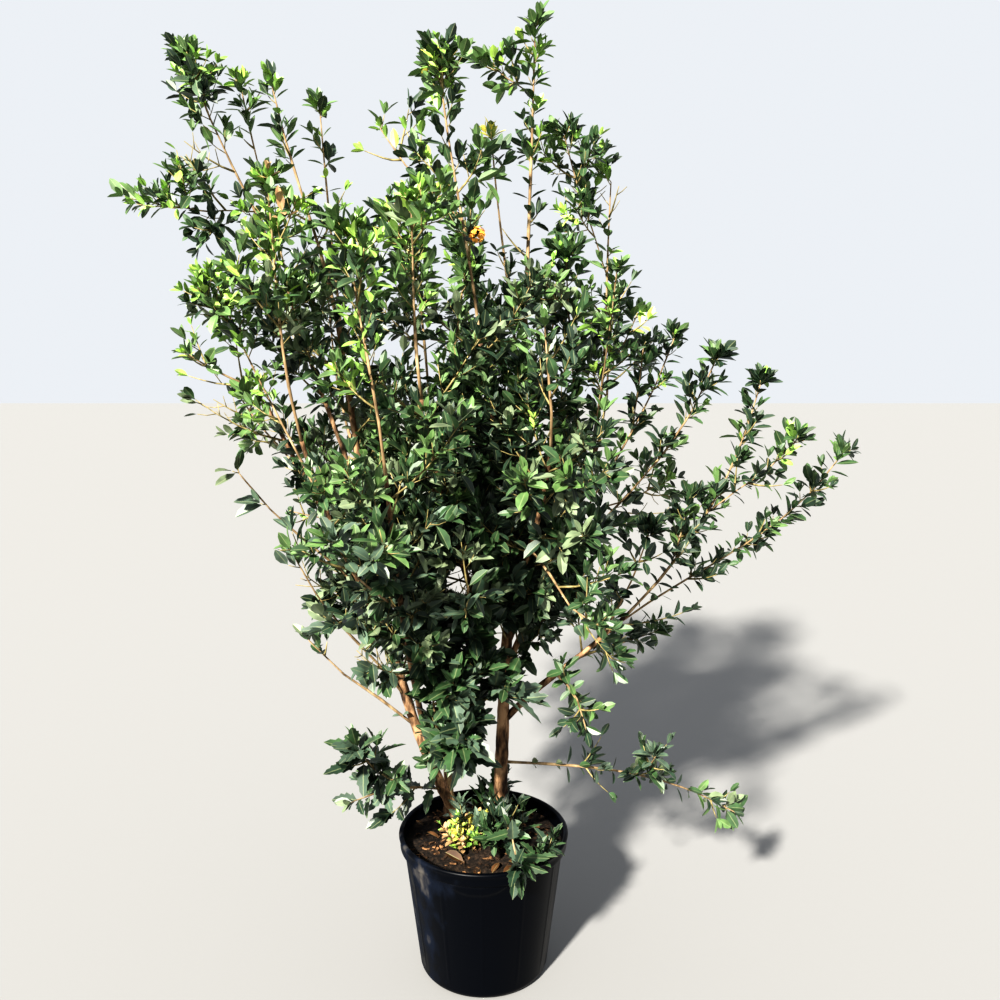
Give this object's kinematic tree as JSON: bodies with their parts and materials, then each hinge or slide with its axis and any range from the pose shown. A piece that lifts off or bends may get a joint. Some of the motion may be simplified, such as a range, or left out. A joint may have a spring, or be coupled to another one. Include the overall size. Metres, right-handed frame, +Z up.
{
  "type": "potted shrub",
  "caption": "Bushy evergreen osmanthus shrub with slender upright stems and small dark leaves, in a round tapered nursery pot with a rolled rim.",
  "frame": {"origin": "centre of the pot's flat underside, on the ground", "axes": "+Z up along the pot's axis; -Y towards the front that the picture shows, +X to the right in the picture"},
  "size_m": [1.5827, 1.3188, 2.1384],
  "materials": {
    "pot": "satin black moulded plastic, dusty with use",
    "soil": "dark bark compost",
    "bark": "dull grey-brown bark",
    "foliage": "leathery satin leaf"
  },
  "bodies": {
    "root": {"pot": "pot", "soil": "soil", "main_stem": "bark", "left_stem": "bark", "back_stem": "bark", "centre_left_bough": "bark", "middle_bough": "bark", "right_bough": "bark", "right_rear_bough": "bark", "front_right_bough": "bark", "back_right_bough": "bark", "far_left_bough": "bark", "left_front_bough": "bark", "upper_left_bough": "bark", "front_bough": "bark", "back_left_bough": "bark", "back_bough": "bark", "top_left_mass": "foliage", "left_crown_mass": "foliage", "left_inner_crown_mass": "foliage", "left_rear_crown_mass": "foliage", "left_front_crown_mass": "foliage", "left_edge_mass": "foliage", "far_left_mass": "foliage", "far_left_rear_mass": "foliage", "left_low_mass": "foliage", "left_rear_low_mass": "foliage", "left_flank_mass": "foliage", "left_foot_mass": "foliage", "left_base_mass": "foliage", "top_rear_mass": "foliage", "top_centre_left_mass": "foliage", "top_centre_mass": "foliage", "top_mass": "foliage", "top_right_mass": "foliage", "right_inner_crown_mass": "foliage", "right_crown_mass": "foliage", "centre_right_mass": "foliage", "right_rear_mass": "foliage", "right_mid_mass": "foliage", "right_mass": "foliage", "far_right_mass": "foliage", "right_front_mass": "foliage", "right_low_mass": "foliage", "right_hanging_mass": "foliage", "right_base_mass": "foliage", "front_crown_mass": "foliage", "front_left_crown_mass": "foliage", "rear_crown_mass": "foliage", "front_right_mass": "foliage", "front_low_mass": "foliage", "base_mass": "foliage", "rim_mass": "foliage", "back_left_mass": "foliage", "back_mass": "foliage", "back_right_mass": "foliage", "back_right_low_mass": "foliage", "back_low_mass": "foliage", "front_bulge_mass": "foliage", "front_right_low_mass": "foliage"}
  },
  "joints": []
}
